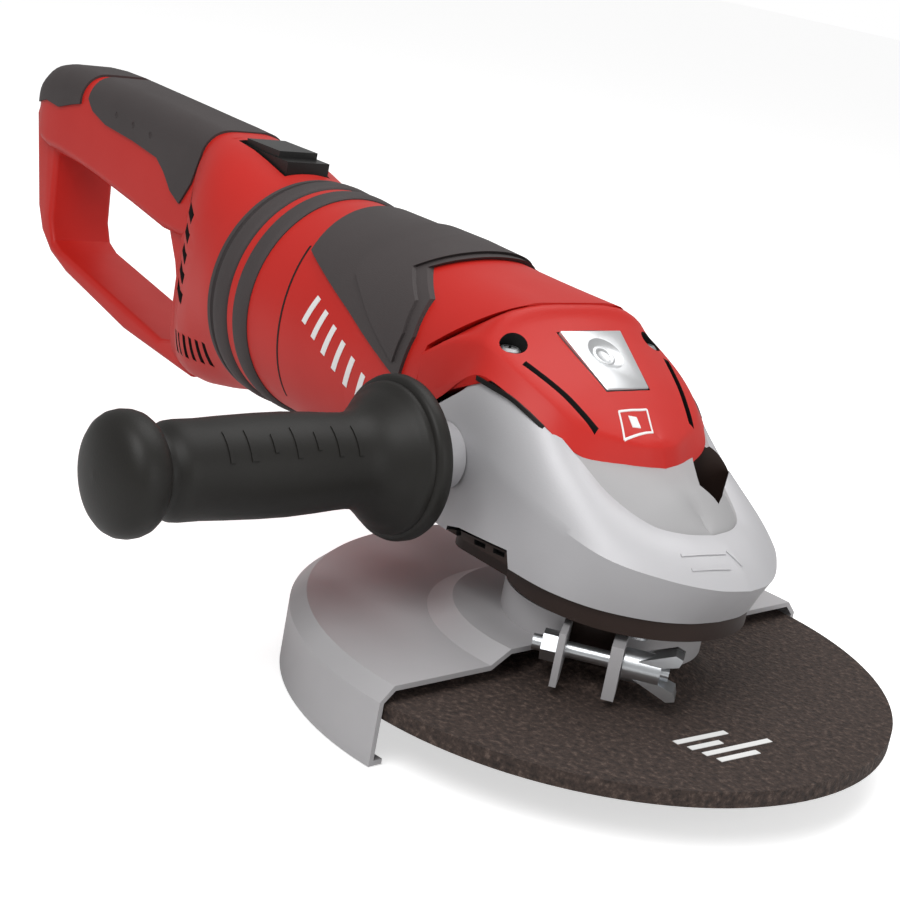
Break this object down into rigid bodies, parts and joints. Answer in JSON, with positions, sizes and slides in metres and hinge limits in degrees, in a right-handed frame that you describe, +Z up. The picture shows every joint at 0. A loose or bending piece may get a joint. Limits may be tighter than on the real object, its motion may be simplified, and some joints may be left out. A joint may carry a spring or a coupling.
{
  "type": "angle grinder",
  "caption": "Large corded angle grinder with a bevel gear head, half-covered disc under a clamped guard, side handle and a swivelling D-shaped rear handle.",
  "frame": {"origin": "lower end of the spindle, on the spindle's axis", "axes": "+Z up along the spindle, +X towards the nose of the gear head, rear handle towards -X, side handle towards -Y"},
  "size_m": [0.581, 0.3175, 0.1666],
  "materials": {
    "disc": "coarse resin-bonded grit",
    "steel": "machined",
    "laminated_steel": "stacked laminations",
    "copper": "enamelled wire and bars",
    "fan_plastic": "moulded",
    "carbon": "pressed carbon",
    "brass": "drawn",
    "dark_flange": "dark coated casting",
    "zinc": "bright zinc plate",
    "head_aluminium": "silver painted die casting",
    "red_plastic": "satin moulded",
    "bright_plate": "satin",
    "soft_grip": "soft-touch overmould",
    "trigger_plastic": "moulded",
    "black_plastic": "moulded",
    "black_rubber": "moulded",
    "handle_black": "satin moulded",
    "guard_steel": "silver coated pressing"
  },
  "bodies": {
    "body": {"air_baffle": "fan_plastic", "bearing_bridge": "fan_plastic", "bearing_flange": "dark_flange", "brush_holders": "brass", "carbon_brushes": "carbon", "cover_screws": "zinc", "field_coils": "copper", "flange_screws": "zinc", "front_motor_bearing": "steel", "front_swivel_ring": "soft_grip", "gear_cover": "red_plastic", "gear_housing": "head_aluminium", "handle_boss": "head_aluminium", "motor_housing": "red_plastic", "rear_motor_bearing": "steel", "side_handle_cap": "handle_black", "side_handle_grip": "handle_black", "side_handle_stud": "zinc", "side_handle_washer": "zinc", "spindle_lock_spring": "zinc", "spindle_lower_bearing": "steel", "spindle_upper_bearing": "steel", "stator_core": "laminated_steel", "swivel_band": "red_plastic", "top_pad_inner": "soft_grip", "top_pad_outer": "soft_grip", "upper_bearing_seat": "head_aluminium"},
    "disc_drive": {"grinding_disc": "disc", "inner_flange": "steel", "clamp_nut": "steel", "spindle": "steel", "crown_gear": "steel"},
    "armature": {"armature_shaft": "steel", "pinion_gear": "steel", "armature_core": "laminated_steel", "armature_windings": "copper", "commutator": "copper", "cooling_fan": "fan_plastic"},
    "rear_handle": {"handle_shell_left": "red_plastic", "handle_shell_right": "red_plastic", "rear_swivel_ring": "soft_grip", "main_grip": "soft_grip", "rear_grip": "soft_grip", "handle_screws": "zinc", "trigger_pin": "steel", "trigger_spring": "zinc", "switch_module": "fan_plastic", "swivel_lock_spring": "zinc", "lock_bracket": "fan_plastic", "cable_gland": "black_rubber"},
    "guard": {"guard_shell": "guard_steel", "guard_collar": "guard_steel", "clamp_bolt": "zinc", "clamp_hex_nut": "zinc"},
    "trigger": {"trigger": "trigger_plastic"},
    "swivel_lock": {"swivel_lock_button": "black_plastic"},
    "spindle_lock": {"spindle_lock_button": "bright_plate"},
    "wing_nut": {"wing_nut": "zinc"}
  },
  "joints": [
    {"name": "spindle_spin", "type": "hinge", "parent": "body", "child": "disc_drive", "pos_m": [0, 0, 0], "axis": [0, 0, 1], "continuous": true},
    {"name": "armature_spin", "type": "hinge", "parent": "body", "child": "armature", "pos_m": [0, 0, 0.0916], "axis": [1, 0, 0], "continuous": true},
    {"name": "handle_swivel", "type": "hinge", "parent": "body", "child": "rear_handle", "pos_m": [-0.215, 0, 0.0916], "axis": [1, 0, 0], "range_deg": [-90, 90]},
    {"name": "trigger_squeeze", "type": "hinge", "parent": "rear_handle", "child": "trigger", "pos_m": [-0.366, 0, 0.109], "axis": [0, -1, 0], "range_deg": [0, 6], "stiffness_Nm_per_rad": 1.5, "springref_deg": -5.73},
    {"name": "swivel_lock_press", "type": "slide", "parent": "rear_handle", "child": "swivel_lock", "axis": [0, 0, -1], "range_m": [0, 0.003], "stiffness_N_per_m": 1500, "springref_m": -0.001, "deforming": ["swivel_lock_spring"]},
    {"name": "spindle_lock_press", "type": "slide", "parent": "body", "child": "spindle_lock", "axis": [-0.5039, 0, -0.8638], "range_m": [0, 0.003], "stiffness_N_per_m": 1500, "springref_m": -0.001},
    {"name": "guard_turn", "type": "hinge", "parent": "body", "child": "guard", "pos_m": [0, 0, 0.022], "axis": [0, 0, 1], "range_deg": [-90, 90]},
    {"name": "wing_nut_turn", "type": "hinge", "parent": "guard", "child": "wing_nut", "pos_m": [0.04553, -0.02315, 0.027], "axis": [0.766, 0.6428, 0], "continuous": true}
  ],
  "couplings": [
    {"joint": "armature_spin", "follows": "spindle_spin", "ratio": -2.6667}
  ]
}
